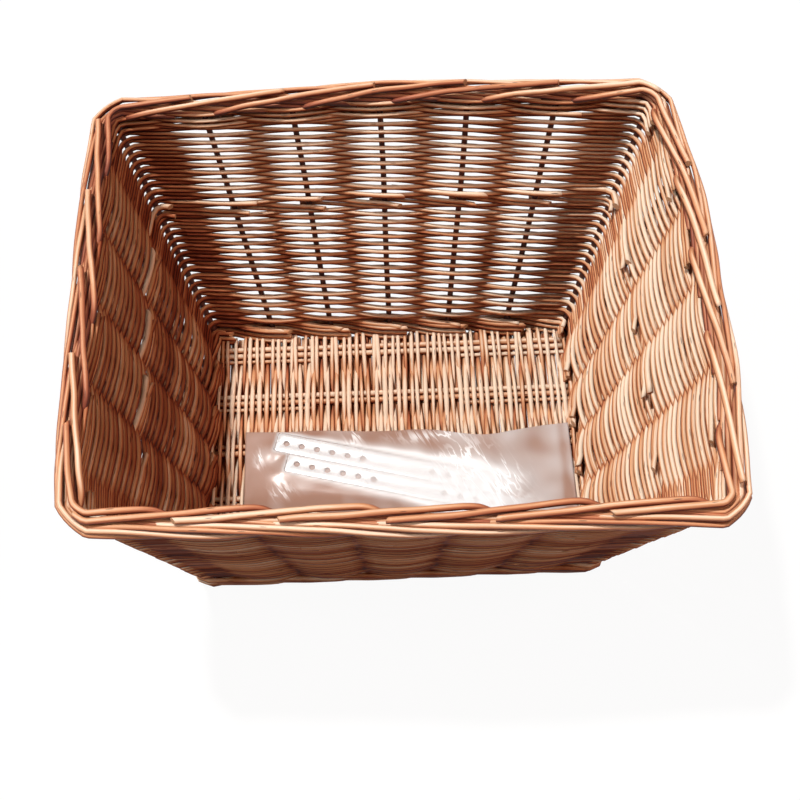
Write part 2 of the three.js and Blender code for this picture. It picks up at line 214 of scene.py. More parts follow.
# How far the rim bulges further out at a place, in millimetres
RIM_BULGE = (
    (0, 1.5), (3, 0.0), (5.8, 0.0), (6.6, 2.5), (7.4, 4.5), (8.3, 2.5), (9.8, 7.0), (10.7, 4.5),
    (12, 2.5), (14, -1.5), (16.4, 1.5), (17.9, 4.0), (19.5, -2.0), (20.6, 1.5), (21.5, 4.0), (22, 1.5),
)
# How nearly straight the border cuts its corners, from 0 for round
CORNER_CUT = 0.75
# How sharply a rod passes a corner post, and an upright of the long and of the short sides
CORNER_PEAK = 14.0
SIDE_PEAK = (1.1, 0.85)
# How far off the line the siding passes the same uprights, as a share of both radii
CORNER_PRESS = 0.45
SIDE_PRESS = (0.7, 1.0)
# Painted shade: how much darker the rods are on the left side, which lies in shade and is the reddest
LEFT_PAINTED_SHADE = -0.32


class Wall:
    """The line through the uprights: a rounded rectangle that widens from the foot to the rim.

    Places on it are counted in uprights, anticlockwise from the front left corner post."""

    def __init__(self):
        form = shape()
        self.foot = (form.foot_length / 2, form.foot_depth / 2, form.foot_corner)
        self.rim = (form.rim_length / 2, form.rim_depth / 2, form.rim_corner)
        self.height = form.rim_height
        self.bow = form.rim_bow
        self.crown = form.rim_crown
        self.posts = (form.long_stakes + 1, form.short_stakes + 1) * 2
        self.count = sum(self.posts)
        self.stake = rods().stake / 2
        self.post = rods().post / 2
        self.top = rods().upright_top / 2

    def locate(self, place):
        """The side that holds a place, and how many uprights along it the place is."""
        along = place % self.count
        side = 0
        while side < 3 and along >= self.posts[side]:
            along -= self.posts[side]
            side += 1
        return side, along

    def by_upright(self, place, corner, sides):
        """The value for a corner post, or for an upright of the long or the short sides."""
        side, along = self.locate(place)
        return corner if along == 0 else sides[side % 2]

    def blend(self, find, place):
        """A value of the uprights, blended from one to the next."""
        low = math.floor(place)
        return lerp(find(low), find(low + 1), place - low)

    def sway(self, place, row):
        """How far a rod is to its inner side, from 1 to -1: peaked at an upright, more so at a corner."""
        turn = math.cos(math.pi * row)
        peak = self.by_upright(round(place), CORNER_PEAK, SIDE_PEAK)
        return math.copysign(abs(turn) ** peak, turn)

    # Painted shade on the left side's rods, blended from one upright to the next
    def left_shade(self, place):
        return self.blend(lambda upright: LEFT_PAINTED_SHADE if self.locate(upright)[0] == 3 else 0.0, place)

    def upright_radius(self, place, z):
        foot = self.by_upright(place, self.post, (self.stake, self.stake))
        return lerp(foot, self.top, clamp(z / self.height))

    def hold(self, place, z):
        """How far the uprights keep the middle of the weave off their line, apart from its own radius."""
        return self.blend(lambda upright: self.upright_radius(upright, z), place)

    def siding_reach(self, place, z, radius):
        """How far off the line a rod of the siding lies."""
        pressed = self.blend(lambda upright: self.by_upright(upright, CORNER_PRESS, SIDE_PRESS), place)
        return (self.hold(place, z) + radius) * pressed

    def spot(self, place, z):
        """The point of the line at a place and height, and the direction outwards there."""
        side, along = self.locate(place)
        height = z / self.height
        half_length, half_depth, radius = (lerp(foot, rim, height) for foot, rim in zip(self.foot, self.rim))
        half, reach = (half_length, half_depth) if side % 2 == 0 else (half_depth, half_length)
        arc = radius * math.pi / 4
        straight = 2 * (half - radius)
        run = along * (straight + 2 * arc) / self.posts[side]
        turn = 0
        if run < arc:
            turn = (run - arc) / radius
        elif run > arc + straight:
            turn = (run - arc - straight) / radius
        heading = side * math.pi / 2
        forward = Vector((math.cos(heading), math.sin(heading), 0))
        side_out = Vector((forward.y, -forward.x, 0))
        outward = Vector((math.sin(heading + turn), -math.cos(heading + turn), 0))
        position = clamp(run - arc, 0, straight) - (half - radius)
        swell = math.sin(math.pi * along / self.posts[side]) ** 2 * height
        bulge = flow(RIM_BULGE, place % self.count)[0] * MM * height
        bowed = outward * (radius + self.bow * swell + bulge)
        point = forward * position + side_out * (reach - radius) + bowed
        point.z = z + self.crown * swell
        return point, outward

    def on_line(self, place, z):
        return self.settle(self.spot(place, z)[0])

    def bordering(self, place, outside, rise):
        """A point of the border, which cuts its corners nearly straight."""
        point, outward = self.spot(place, self.height)
        side, along = self.locate(place)
        half, radius = self.rim[side % 2], self.rim[2]
        run = abs(along / self.posts[side] - 0.5) * 2 * (half - radius + radius * math.pi / 4)
        around = run - (half - radius)
        centre = point - outward * radius
        if around > 0:
            off_middle = math.pi / 4 - around / radius
            reach = lerp(1, math.cos(math.pi / 4) / math.cos(off_middle), CORNER_CUT)
            point = centre + outward * (radius + outside) * reach
        else:
            point = point + outward * outside
        return self.settle(point + UP * rise)

    def woven(self, place, z, outside, rise=0.0):
        """A point square off the sloping wall, as the rods of the weave lie."""
        point, outward = self.spot(place, z)
        lean = abs(outward.x) * (self.rim[0] - self.foot[0]) + abs(outward.y) * (self.rim[1] - self.foot[1])
        square = (outward - UP * (lean / self.height)).normalized()
        return self.settle(point + square * outside + UP * rise)

    def settle(self, point):
        """Sets a point a little off square, as the real basket is."""
        height = clamp(point.z / self.height, 0, 1.1)
        wander = noise.noise_vector(point * WANDER_DETAIL) * WANDER * height
        foot = self.lean_at(point, FOOT_LEAN, self.foot)
        return point + foot.lerp(self.lean_at(point, RIM_LEAN, self.rim), height) + wander

    def lean_at(self, point, corners, reach):
        share_x = clamp(point.x / (2 * reach[0]) + 0.5)
        share_y = clamp(point.y / (2 * reach[1]) + 0.5)
        front = corners[0].lerp(corners[1], share_x)
        return front.lerp(corners[3].lerp(corners[2], share_x), share_y)


def ring_faces(rings, sides, base=0):
    """The faces between rings of points, in order along them and round them."""
    faces = []
    for ring in range(base, base + (rings - 1) * sides, sides):
        for j in range(sides):
            k = (j + 1) % sides
            faces.append((ring + j, ring + k, ring + sides + k, ring + sides + j))
    return faces


def tube_faces(rings, sides, base=0):
    """The same, closed at both ends."""
    last = base + (rings - 1) * sides
    ends = [tuple(base + j for j in reversed(range(sides))), tuple(last + j for j in range(sides))]
    return ring_faces(rings, sides, base) + ends


def new_piece(name, points, faces, **values):
    """A mesh object in the scene, with its named values at each point."""
    mesh = bpy.data.meshes.new(name)
    mesh.from_pydata(points, [], faces)
    for kind, each in values.items():
        mesh.attributes.new(kind, "FLOAT", "POINT").data.foreach_set("value", np.array(each, np.float32))
    piece = bpy.data.objects.new(name, mesh)
    bpy.context.scene.collection.objects.link(piece)
    return piece


# Painted light round a rod: how far up its side each point is, and how much paler its upper side is painted
# as a highlight and darker its underside as shade
ROUND_HEIGHT = (-0.2, 0.55, 0.85, 1.0)
ROUND_PAINTED_LIGHT = (-0.62, -0.06, 0.08, 0.26)


class RodBundle:
    """Sweeps round rods into one mesh. Each keeps its length, tone and painted light and shade for its
    finish.
    """

    def __init__(self):
        self.points = []
        self.faces = []
        self.uvs = []
        self.tones = []
        self.painted_lights_and_tones = []
        self.caps = []

    def add(self, course, tone, sides=8, slant=(0, 0)):
        """Adds a rod along its course: points, each with the rod's radius and its painted light there. That
        is how much paler than its tone it is painted where light falls and how much darker where shade falls,
        with, on some rods, a tone shift of their own. Its upper side is painted paler still as a highlight,
        and its underside darker as shade. Slant is how steeply each end is cut, in radii."""
        points, radii, painted_lights_and_tones = zip(*course)
        path = np.array([tuple(point) for point in points])
        radii = np.array(radii)
        count = len(path)
        tangents = np.gradient(path, axis=0)
        tangents /= np.linalg.norm(tangents, axis=1)[:, None]
        normals = np.empty_like(path)
        start = np.cross(tangents[0], (0.3, 0.2, 1.0))
        normals[0] = start / np.linalg.norm(start)
        for i in range(1, count):
            carried = normals[i - 1] - tangents[i] * np.dot(normals[i - 1], tangents[i])
            normals[i] = carried / np.linalg.norm(carried)
        across = np.cross(tangents, normals)
        angles = np.arange(sides) * 2 * math.pi / sides
        cosines, sines = np.cos(angles), np.sin(angles)
        spokes = cosines[:, None] * normals[:, None] + sines[:, None] * across[:, None]
        rings = path[:, None] + radii[:, None, None] * spokes
        for end in (0, -1):
            rings[end] += np.outer(cosines * radii[end] * slant[end], tangents[end])
        self.faces += tube_faces(count, sides, len(self.tones))
        self.caps += [False] * ((count - 1) * sides) + [True, True]
        self.points.append(rings.reshape(-1, 3))
        self.tones += [tone] * (count * sides)
        # Painted highlight on each rod's upper side and painted shade on its underside
        around = np.interp(spokes[:, :, 2], ROUND_HEIGHT, ROUND_PAINTED_LIGHT)
        self.painted_lights_and_tones.extend((np.array(painted_lights_and_tones)[:, None] + around).ravel())
        lengths = np.concatenate([[0], np.cumsum(np.linalg.norm(np.diff(path, axis=0), axis=1))])
        for near, far in zip(lengths, lengths[1:]):
            for j in range(sides):
                low, high = j / sides, (j + 1) / sides
                self.uvs += [near, low, near, high, far, high, far, low]
        for run in (0.0, lengths[-1]):
            for j in range(sides):
                self.uvs += [run, j / sides]

    def build(self, name, finishes):
        """Makes the mesh object, with its rods in the first finish and their cut ends in the second."""
        points = np.concatenate(self.points).tolist()
        piece = new_piece(name, points, self.faces, tone=self.tones, wear=self.painted_lights_and_tones)
        mesh, caps = piece.data, np.array(self.caps)
        mesh.polygons.foreach_set("use_smooth", ~caps)
        mesh.polygons.foreach_set("material_index", caps.astype(np.int32))
        mesh.uv_layers.new(name="rod").data.foreach_set("uv", np.array(self.uvs, np.float32))
        for finish in finishes:
            mesh.materials.append(finish)
        mesh.update()
        return piece


def hand_over(piece, body, slot, *nodes):
    """Attaches a finished piece to its body and hides the model's nodes that it stands for. The slot is not
    used.
    """
    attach(piece, body)
    if nodes:
        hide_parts(*nodes)


class Wire:
    """A shader socket that takes plain arithmetic."""

    def __init__(self, nodes, socket):
        self.nodes = nodes
        self.socket = socket

    def math(self, operation, *others):
        values = dict(enumerate((self, *others)))
        return self.nodes.node("ShaderNodeMath", {"operation": operation}, values)["Value"]

    def __add__(self, other):
        return self.math("ADD", other)

    __radd__ = __add__

    def __mul__(self, other):
        return self.math("MULTIPLY", other)

    __rmul__ = __mul__

    def __sub__(self, other):
        return self.math("SUBTRACT", other)

    def __rsub__(self, other):
        return (self * -1.0) + other

    def above(self, edge, width):
        """0 below the edge, 1 past its width, smooth between."""
        inputs = {"Value": self, "From Min": edge, "From Max": edge + width}
        return self.nodes.node("ShaderNodeMapRange", {"interpolation_type": "SMOOTHSTEP"}, inputs)["Result"]


class Nodes:
    """The nodes of a material or world, which all come from one method."""

    def __init__(self, owner):
        owner.use_nodes = True
        self.tree = owner.node_tree

    def node(self, kind, settings, inputs):
        """Adds a node: its settings first, then its sockets' values or links. Gives its outputs."""
        node = self.tree.nodes.new(kind)
        for name, value in settings.items():
            if name == "stops":
                self.set_stops(node.color_ramp.elements, value)
            else:
                setattr(node, name, value)
        for key, value in inputs.items():
            self.feed(node.inputs[key], value)
        return {output.name: Wire(self, output) for output in node.outputs if output.enabled}

    def set_stops(self, elements, stops):
        while len(elements) < len(stops):
            elements.new(0.5)
        for element, (position, value) in zip(elements, stops):
            element.position = position
            element.color = (*value, 1)

    def feed(self, socket, value):
        if isinstance(value, Wire):
            self.tree.links.new(value.socket, socket)
        else:
            socket.default_value = value

    def attribute(self, name):
        return self.node("ShaderNodeAttribute", {"attribute_name": name}, {})["Fac"]

    def place(self):
        return self.node("ShaderNodeTexCoord", {}, {})["Object"]

    def split(self, vector):
        return self.node("ShaderNodeSeparateXYZ", {}, {"Vector": vector})

    def vector(self, x, y, z):
        return self.node("ShaderNodeCombineXYZ", {}, {"X": x, "Y": y, "Z": z})["Vector"]

    def clouds(self, vector, scale, detail, distortion=0.0):
        inputs = {"Vector": vector, "Scale": scale, "Detail": detail, "Distortion": distortion}
        return self.node("ShaderNodeTexNoise", {}, inputs)["Fac"]

    def ramp(self, stops, share):
        return self.node("ShaderNodeValToRGB", {"stops": stops}, {"Fac": share})["Color"]

    def looked_at(self):
        """1 for a look from the camera, straight, in metal or through film, and 0 for any other light."""
        path = self.node("ShaderNodeLightPath", {}, {})
        seen = path["Is Camera Ray"].math("MAXIMUM", path["Is Glossy Ray"])
        return seen.math("MAXIMUM", path["Is Transmission Ray"])


class Finish(Nodes):
    """A material, with the unchanging values of its surface."""

    def __init__(self, name, **constants):
        self.material = bpy.data.materials.new(name)
        super().__init__(self.material)
        self.shader = self.tree.nodes["Principled BSDF"]
        for socket, value in constants.items():
            self.give(socket.replace("_", " "), value)

    def give(self, socket, value):
        self.feed(self.shader.inputs[socket], value)

    def bump(self, height, strength, distance):
        inputs = {"Strength": strength, "Distance": distance, "Height": height}
        self.give("Normal", self.node("ShaderNodeBump", {}, inputs)["Normal"])


# How light and how glossy each group of rods is
WILLOWS = {"willow_border": (0.39, 0.45), "willow_siding": (0.475, 0.05), "willow_base": (0.54, 0.12)}


def willow(name, lightness, gloss):
    """Smooth stripped willow: long streaks, slow changes of tone, a few small dark scars."""
    tint = colours()
    finish = Finish(name, Specular_IOR_Level=gloss)
    rod = finish.split(finish.node("ShaderNodeUVMap", {"uv_map": "rod"}, {})["UV"])
    turn = rod["Y"] * (2 * math.pi)
    cosine, sine = turn.math("COSINE"), turn.math("SINE")
    tone, wear = finish.attribute("tone"), finish.attribute("wear")

    def on_rod(along, round_it, apart=91.7):
        """A place on the rod with no seam: features per metre along it, how fast they change round it,
        and how far apart the patterns of two rods start."""
        return finish.vector(rod["X"] * along + tone * apart, cosine * round_it, sine * round_it)

    streaks = finish.clouds(on_rod(9.0, 2.6), 1.0, 4.0)
    patches = finish.clouds(on_rod(7.0, 0.35), 1.0, 2.0)
    grain = finish.clouds(on_rod(60.0, 7.0), 1.0, 2.0)
    # The rod's painted light and shade, with any tone shift of its own, joins the mix here
    mixed = tone * 0.36 + streaks * 0.55 + patches * 0.42 + grain * 0.16 + wear + (lightness - 0.54)
    stops = [(0.0, tint.shade), (0.26, tint.bark), (0.5, tint.buff), (0.74, tint.pale), (1.0, tint.cream)]
    spots = {"Vector": on_rod(38.0, 0.9, 57.3), "Scale": 1.0, "Randomness": 1.0}
    scar = 1.0 - finish.node("ShaderNodeTexVoronoi", {}, spots)["Distance"].above(0.085, 0.06)
    worn = {"Factor": scar * 0.85, 6: finish.ramp(stops, mixed), 7: (*tint.shade, 1)}
    finish.give("Base Color", finish.node("ShaderNodeMix", {"data_type": "RGBA"}, worn)["Result"])
    finish.give("Roughness", streaks * 0.2 + 0.42)
    finish.bump(streaks * 0.5 + grain * 0.5 - scar * 1.5, 0.35, 0.25 * MM)
    return finish.material


def pith(name):
    """The pale cut end of a rod, with a fine darker grain."""
    finish = Finish(name, Roughness=0.75)
    grain = finish.clouds(finish.place(), 1400.0, 2.0)
    tint = Vector(colours().pith)
    finish.give("Base Color", finish.ramp([(0.3, tint * 0.62), (0.62, tint)], grain))
    finish.bump(grain, 0.3, 0.2 * MM)
    return finish.material


def willow_set(name):
    """The rod finish and the cut end finish of a group of rods, made once."""
    found = bpy.data.materials.get(name) or willow(name, *WILLOWS[name])
    return found, bpy.data.materials.get("cut_pith") or pith("cut_pith")


# An upright past the top of the wall: how far it has run back along the border, in uprights,
# and where it is beside and above the rim line, in millimetres. It bends inwards, lies along
# the inner edge, crosses the top and ends over the outer rods.
UPRIGHT_RUN = (
    (0.0, 0.0, -12.0), (0.1, -2.6, -9.0), (0.2, -5.5, -4.4), (0.32, -6.9, -0.4),
    (0.55, -5.6, 2.0), (1.0, -2.2, 3.8), (1.5, 1.4, 4.6), (2.0, 4.4, 5.0),
)
# Where the cut ends lie past whole places, along the rim
CUT_END_DRIFT = (
    (0, 0.0), (1, -0.1), (3, -0.14), (5, -0.12), (6, 0.2), (7.2, 0.2),
    (9, -0.08), (12, 0.0), (17, 0.14), (20, 0.3), (21, 0.08), (22, 0.0),
)
# An outer border rod: where it is after running on from under a cut end
OUTER_RUN = (
    (-0.45, -1.2, -6.6), (-0.1, 3.4, -2.0), (0.2, 5.6, 0.3), (0.6, 7.3, 1.9), (1.0, 8.7, 1.6),
    (1.6, 10.3, -0.6), (2.0, 10.7, -3.2), (2.3, 9.7, -6.3), (2.6, 6.6, -9.0), (2.9, 3.2, -9.9),
)
# A rod that fills the border from below
UNDER_RUN = (
    (-0.3, -3.8, -7.6), (0.3, -1.4, -3.6), (0.9, 1.6, -1.8),
    (1.5, 4.6, -2.6), (2.1, 6.6, -5.8), (2.45, 5.0, -9.0),
)
# Painted shade on a hidden length of rod and on one that passes behind another, and painted light on exposed
# ones
PAINTED_HIDDEN_SHADE = -0.45
CROSSING = -0.1
BRIGHT = 0.09
BRIGHT_END = 0.06
STAKE_GROUND_GAP = 2 * MM
WALE_GROUND_GAP = 0.3 * MM
BEND_START = -12 * MM
UPRIGHT_STEPS = 24
BORDER_STEP = 0.04


def cut_end(wall, place):
    """Where along the rim the cut end near a whole place lies."""
    return place + flow(CUT_END_DRIFT, place % wall.count)[0]


class BASKET_OT_raise_uprights(bpy.types.Operator):
    """Stands the corner posts and stakes, and lays their tops along the border"""

    bl_idname = "basket.raise_uprights"
    bl_label = "Raise uprights"

    def execute(self, context):
        wall = Wall()
        rng = random.Random(UPRIGHT_SEED)
        names = []
        for side, corner, posts in zip(SIDES, CORNERS, wall.posts):
            names += [f"corner_post_{corner}"] + [f"{side}_stake_{i}" for i in range(1, posts)]
        for place, name in enumerate(names):
            piece = self.upright(wall, place, rng).build(f"{name}_rod", willow_set("willow_border"))
            hand_over(piece, "basket", "willow", name)
        return {"FINISHED"}

    def upright(self, wall, place, rng):
        course = []
        for share in shares(UPRIGHT_STEPS):
            z = lerp(STAKE_GROUND_GAP, wall.height + BEND_START, share)
            # The length inside the wall is painted in the shade of a hidden rod
            course.append((wall.on_line(place, z), wall.upright_radius(place, z), PAINTED_HIDDEN_SHADE))
        shift = Vector((rng.uniform(-0.35, 0.35), rng.uniform(-0.3, 0.4)))
        full_run = UPRIGHT_RUN[-1][0]
        run = place - cut_end(wall, place - full_run)
        for share in shares(int(run / BORDER_STEP))[1:]:
            outside, rise = flow(UPRIGHT_RUN, share * full_run)
            ease = clamp(share * 5)
            kink = noise.noise_vector(Vector((place * 7.1, share * 5, 0))) * 0.8 * ease
            outside += shift.x * ease + kink.x
            rise += shift.y * ease + kink.y
            along = place - share * run
            # Painted shade on the hidden length, fading to painted light towards the exposed cut end, with
            # half the left side's painted shade
            wear = lerp(PAINTED_HIDDEN_SHADE, BRIGHT_END, clamp(share * 3) ** 0.5) + wall.left_shade(along) / 2
            point = wall.bordering(along, outside * MM, rise * MM)
            course.append((point, wall.top * (1 + 0.12 * kink.z), wear))
        bundle = RodBundle()
        bundle.add(course, rng.random(), sides=12, slant=(0, rng.choice((-0.7, 0.4, 0.8))))
        return bundle


class BASKET_OT_lay_border(bpy.types.Operator):
    """Lays the border's outer rods, each from under a cut end to the outer edge and back under"""

    bl_idname = "basket.lay_border"
    bl_label = "Lay border"

    def execute(self, context):
        wall = Wall()
        rng = random.Random(BORDER_SEED)
        for which in range(2):
            bundle = RodBundle()
            for place in range(which, wall.count, 2):
                start = cut_end(wall, place)
                self.border_rod(wall, bundle, start, OUTER_RUN, 1.0, 0.0, rng)
                for later in (0.0, 0.5):
                    # The rods under the border are painted in half the shade of a hidden length
                    self.border_rod(wall, bundle, start + later, UNDER_RUN, 1.12, PAINTED_HIDDEN_SHADE / 2, rng)
            piece = bundle.build(f"outer_border_rods_{which + 1}", willow_set("willow_border"))
            hand_over(piece, "basket", "willow", f"border_strand_{which + 1}")
        return {"FINISHED"}

    def border_rod(self, wall, bundle, start, knots, thickness, wear, rng):
        radius = rods().border / 2 * thickness * rng.uniform(0.9, 1.08)
        shift = Vector((rng.uniform(-0.35, 0.35), rng.uniform(-0.3, 0.3)))
        first, end = knots[0][0], knots[-1][0]
        travelled = first
        course = []
        while travelled < end:
            outside, rise = flow(knots, travelled)
            kink = noise.noise_vector(Vector((start * 5.3, travelled * 2.2, 7))) * 0.7
            outside += shift.x + kink.x
            rise += shift.y + kink.y
            # Painted light on the exposed length, painted shade where the ends tuck under, and the left
            # side's painted shade
            tucked = max(0.25 - (travelled - first), 0.5 - (end - travelled), 0) * 2
            left_shade = wall.left_shade(start + travelled) * 0.6
            point = wall.bordering(start + travelled, outside * MM, rise * MM)
            thinned = radius * lerp(1.08, 0.86, clamp(travelled / end))
            course.append((point, thinned, wear + left_shade + lerp(BRIGHT_END, CROSSING, clamp(tucked))))
            travelled += BORDER_STEP
        bundle.add(course, rng.random(), sides=10)


@dataclass
class SidingBlock:
    """One set of siding rods, all started together at one height."""

    low: float
    high: float
    last_row: int
    quickening: float

    def height(self, row):
        """Rows lie closer as the rods get thinner."""
        share = row / self.last_row
        eased = share * (1 + self.quickening) - self.quickening * share * share
        return lerp(self.low, self.high, eased)

    def pitch(self, row):
        return self.height(row + 0.5) - self.height(row - 0.5)


LOWER_SIDING = SidingBlock(low=18.4 * MM, high=145.5 * MM, last_row=30, quickening=0.16)
UPPER_SIDING = SidingBlock(low=149.5 * MM, high=232.5 * MM, last_row=22, quickening=0.06)
SIDING_STEPS = 15
# How far before its first upright a rod's butt starts, and past its last row the tip ends, in uprights
BUTT_REACH = 0.17
TIP_REACH = 1.12
# How far a butt pokes into the basket, and how loosely the rods lie
BUTT_POKE = 2.5 * MM
SIDING_LOOSE = 0.35 * MM
SIDING_RISE = 0.7 * MM
# How many of the upper rods have a joined butt, and how far it lies over and above its row
JOINED_SHARE = 0.8
JOINED_OVER = 1.1 * MM
JOINED_RISE = 0.8 * MM


class BASKET_OT_weave_siding(bpy.types.Operator):
    """Weaves the two sets of siding rods, each rod climbing a row at every upright"""

    bl_idname = "basket.weave_siding"
    bl_label = "Weave siding"

    def execute(self, context):
        wall = Wall()
        courses = [f"siding_course_{i:02d}" for i in range(1, 13)]
        for name, block, nodes, seed in (
            ("lower_siding_rods", LOWER_SIDING, courses[:6], LOWER_SIDING_SEED),
            ("upper_siding_rods", UPPER_SIDING, courses[6:], UPPER_SIDING_SEED),
        ):
            rng = random.Random(seed)
            bundle = RodBundle()
            for start in range(wall.count):
                self.siding_rod(wall, bundle, block, start, rng)
                if block is UPPER_SIDING and rng.random() < JOINED_SHARE:
                    self.joined_butt(wall, bundle, block, start, rng)
            hand_over(bundle.build(name, willow_set("willow_siding")), "basket", "willow", *nodes)
        return {"FINISHED"}

    def siding_rod(self, wall, bundle, block, start, rng):
        thickness = rng.uniform(0.86, 1.12)
        butt, tip = rods().siding_butt / 2 * thickness, rods().siding_tip / 2 * thickness
        end = block.last_row + TIP_REACH * rng.uniform(0.96, 1.08)
        shiver = rng.uniform(0, 50)
        course = []
        for i in range(int(-BUTT_REACH * SIDING_STEPS) - 1, int(end * SIDING_STEPS) + 1):
            row = i / SIDING_STEPS
            place = start + row
            radius = lerp(butt, tip, clamp(row / block.last_row) ** 0.8)
            radius = min(radius, 0.53 * block.pitch(row))
            z = block.height(row)
            inward = wall.sway(place, row) if row > 0 else 1.0
            poke = max(-row / BUTT_REACH, 0) * BUTT_POKE
            loose = SIDING_LOOSE * noise.noise(Vector((shiver, row * 1.3, 0)))
            outside = -inward * wall.siding_reach(place, z, radius) - poke + loose
            rise = SIDING_RISE * noise.noise(Vector((row * 0.9, shiver, 3)))
            # Painted shade where the rod crosses from one side of the uprights to the other, painted light
            # where it passes an upright, and the left side's painted shade
            wear = lerp(CROSSING, BRIGHT, clamp(abs(inward) * 2.4)) + wall.left_shade(place)
            course.append((wall.woven(place, z, outside, rise), radius, wear))
        bundle.add(course, rng.random(), slant=(rng.uniform(-1, 1), 0))

    def joined_butt(self, wall, bundle, block, start, rng):
        """The thick end of a rod that takes over from another two rows up, lying over it."""
        first = 2 - rng.uniform(0.12, 0.36)
        radius = rods().siding_butt / 2 * rng.uniform(1.0, 1.25)
        course = []
        for share in shares(10):
            row = lerp(first, 2.9, share)
            z = block.height(row) + JOINED_RISE * (1 - share)
            inward = wall.sway(start + row, row) if row > 2 else 1.0
            outside = -inward * wall.siding_reach(start + row, z, radius) - JOINED_OVER * (1 - share)
            # The joined butt lies on top and is painted in light
            course.append((wall.woven(start + row, z, outside), radius * lerp(1.0, 0.75, share), BRIGHT))
        bundle.add(course, rng.uniform(0.4, 1.0), sides=10, slant=(rng.uniform(-1.4, 1.4), 0))


WALE_ROUNDS = 3
WALE_PITCH = 5.0 * MM
WALE_STEPS = 10
# How far from its first upright a wale rod's butt starts, and before its last one the tip ends
WALE_BUTT = 0.3
WALE_TIP = 0.45


@dataclass
class Wale:
    """Three rods worked together, each behind one upright and before the next two."""

    low: float
    radius: float
    strokes: tuple

    def bundle(self, wall, rng):
        """Lays rods of a whole number of strokes, each from its butt inside an upright."""
        bundle = RodBundle()
        for strand in range(3):
            place = strand
            end = strand + WALE_ROUNDS * wall.count
            while place < end:
                stop = min(place + 3 * rng.choice(self.strokes), end)
                self.rod(bundle, wall, place, stop - WALE_TIP, strand, rng)
                place = stop
        return bundle

    def rod(self, bundle, wall, first, last, strand, rng):
        thickness = self.radius * rng.uniform(0.92, 1.06)
        first_step, last_step = -int(WALE_BUTT * WALE_STEPS), int((last - first) * WALE_STEPS)
        course = []
        for i in range(first_step, last_step + 1):
            place = first + i / WALE_STEPS
            radius = thickness * lerp(1.08, 0.86, clamp(i / last_step))
            z = self.low + WALE_PITCH * ((place - strand) / wall.count)
            if i < 0:
                outside, rise = -wall.hold(place, z) - radius + i * 0.5 * MM, 0
            else:
                outside, rise = self.lie(place, strand, radius, wall, z)
            point = wall.woven(place, z, outside, rise)
            point.z = max(point.z, radius + WALE_GROUND_GAP)
            # Painted shade where the rod crosses between uprights, painted light where it passes one, and the
            # left side's painted shade
            wear = lerp(CROSSING, BRIGHT, abs(math.cos(math.pi * place))) + wall.left_shade(place)
            course.append((point, radius, wear))
        bundle.add(course, rng.random(), slant=(rng.uniform(-1.3, 1.3), 0))

    def lie(self, place, strand, radius, wall, z):
        """Beside and above the row's middle: inside, then outside high, then outside low."""
        low = math.floor(place + 1e-6)
        share = clamp(place - low)
        share = share * share * (3 - 2 * share)
        hold = wall.hold(place, z) + radius
        stations = ((-hold, 0.0), (hold, 0.5 * WALE_PITCH), (hold, -0.5 * WALE_PITCH))
        here, there = stations[(low - strand) % 3], stations[(low + 1 - strand) % 3]
        return lerp(here[0], there[0], share), lerp(here[1], there[1], share)


class BASKET_OT_weave_wales(bpy.types.Operator):
    """Works the three-rod wales round the foot and under the border"""

    bl_idname = "basket.weave_wales"
    bl_label = "Weave wales"

    def execute(self, context):
        wall = Wall()
        rng = random.Random(WALE_SEED)
        foot = Wale(low=3.6 * MM, radius=rods().foot_wale / 2, strokes=(1,))
        rim = Wale(low=231.5 * MM, radius=rods().rim_wale / 2, strokes=(3, 4))
        for name, wale, node in (
            ("foot_wale_rods", foot, "foot_wale"),
            ("rim_wale_rods", rim, "siding_course_12"),
        ):
            piece = wale.bundle(wall, rng).build(name, willow_set("willow_siding"))
            hand_over(piece, "basket", "willow", node)
        return {"FINISHED"}


BASE_RODS = 104
BASE_MIDDLE = 6.7 * MM
BASE_LIFT = 0.25 * MM
# How far the weave goes past its solid's box, into the wall
BASE_TUCK = Vector((11, 10)) * MM
# How sharply the thin rods pass over the sticks
BASE_PEAK = 1.5
STICK_TUCK = 6 * MM
# Rods that close the base beside the sticks' ends: how far in they lie, their height and radius
END_RODS = (1 * MM, 5 * MM)
END_ROD_HEIGHT = 4 * MM
END_ROD_RADIUS = 2.6 * MM
# Rods that close it from below: painted darker, they stand in for the shade under the base that shows through
# its gaps
UNDER_ROD_HEIGHT = 1.5 * MM
UNDER_ROD_RADIUS = 1.4 * MM
# Thin sticks between the two back rows: how far before a row, and where they stop on both sides
LINER_OFFSET = 9.4 * MM
LINER_RADIUS = 1.9 * MM
LINER_ENDS = (-70 * MM, 62 * MM)


